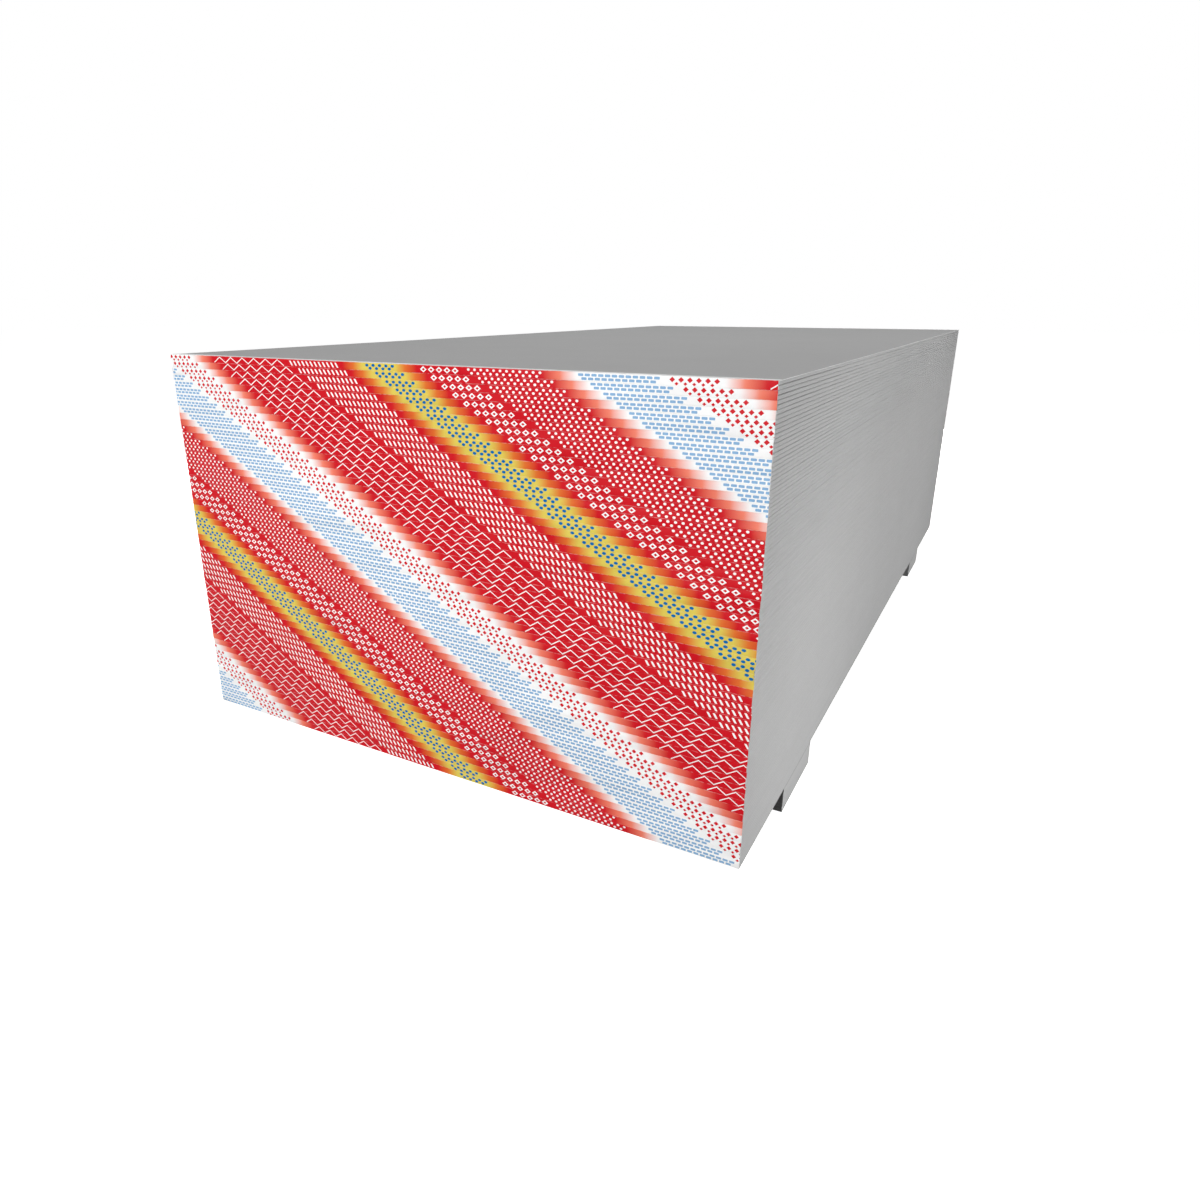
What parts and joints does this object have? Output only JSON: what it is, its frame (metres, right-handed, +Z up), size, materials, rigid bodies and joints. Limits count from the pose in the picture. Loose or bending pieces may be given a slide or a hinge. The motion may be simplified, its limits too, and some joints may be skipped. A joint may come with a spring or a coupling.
{
  "type": "stack of drywall sheets",
  "caption": "Full stack of thin gypsum drywall sheets, taped at the ends in pairs with printed paper tape, lying on two full-width risers.",
  "frame": {"origin": "centre of the bounding box on the floor, under the middle of the stack", "axes": "+Z up, +Y along the sheets from the front end to the back end, +X across the sheets"},
  "size_m": [1.2192, 2.4394, 0.8133],
  "materials": {
    "gypsum_board": "matte",
    "end_tape": "satin",
    "riser_board": "matte"
  },
  "bodies": {
    "root": {"sheets_001_to_004": "gypsum_board", "sheets_005_to_008": "gypsum_board", "sheets_009_to_012": "gypsum_board", "sheets_013_to_016": "gypsum_board", "sheets_017_to_020": "gypsum_board", "sheets_021_to_024": "gypsum_board", "sheets_025_to_028": "gypsum_board", "sheets_029_to_032": "gypsum_board", "sheets_033_to_036": "gypsum_board", "sheets_037_to_040": "gypsum_board", "sheets_041_to_044": "gypsum_board", "sheets_045_to_048": "gypsum_board", "sheets_049_to_052": "gypsum_board", "sheets_053_to_056": "gypsum_board", "sheets_057_to_060": "gypsum_board", "sheets_061_to_064": "gypsum_board", "sheets_065_to_068": "gypsum_board", "sheets_069_to_072": "gypsum_board", "sheets_073_to_076": "gypsum_board", "sheets_077_to_080": "gypsum_board", "sheets_081_to_084": "gypsum_board", "sheets_085_to_088": "gypsum_board", "sheets_089_to_092": "gypsum_board", "sheets_093_to_096": "gypsum_board", "sheets_097_to_100": "gypsum_board", "sheets_101_to_104": "gypsum_board", "sheets_105_to_108": "gypsum_board", "sheets_109_to_112": "gypsum_board", "sheets_113_to_116": "gypsum_board", "sheet_117": "gypsum_board", "sheet_118": "gypsum_board", "sheet_119": "gypsum_board", "sheet_120": "gypsum_board", "front_end_tapes_01_to_58": "end_tape", "front_end_tape_59": "end_tape", "front_end_tape_60": "end_tape", "back_end_tapes_01_to_58": "end_tape", "back_end_tape_59": "end_tape", "back_end_tape_60": "end_tape", "front_riser": "riser_board", "back_riser": "riser_board"}
  },
  "joints": []
}
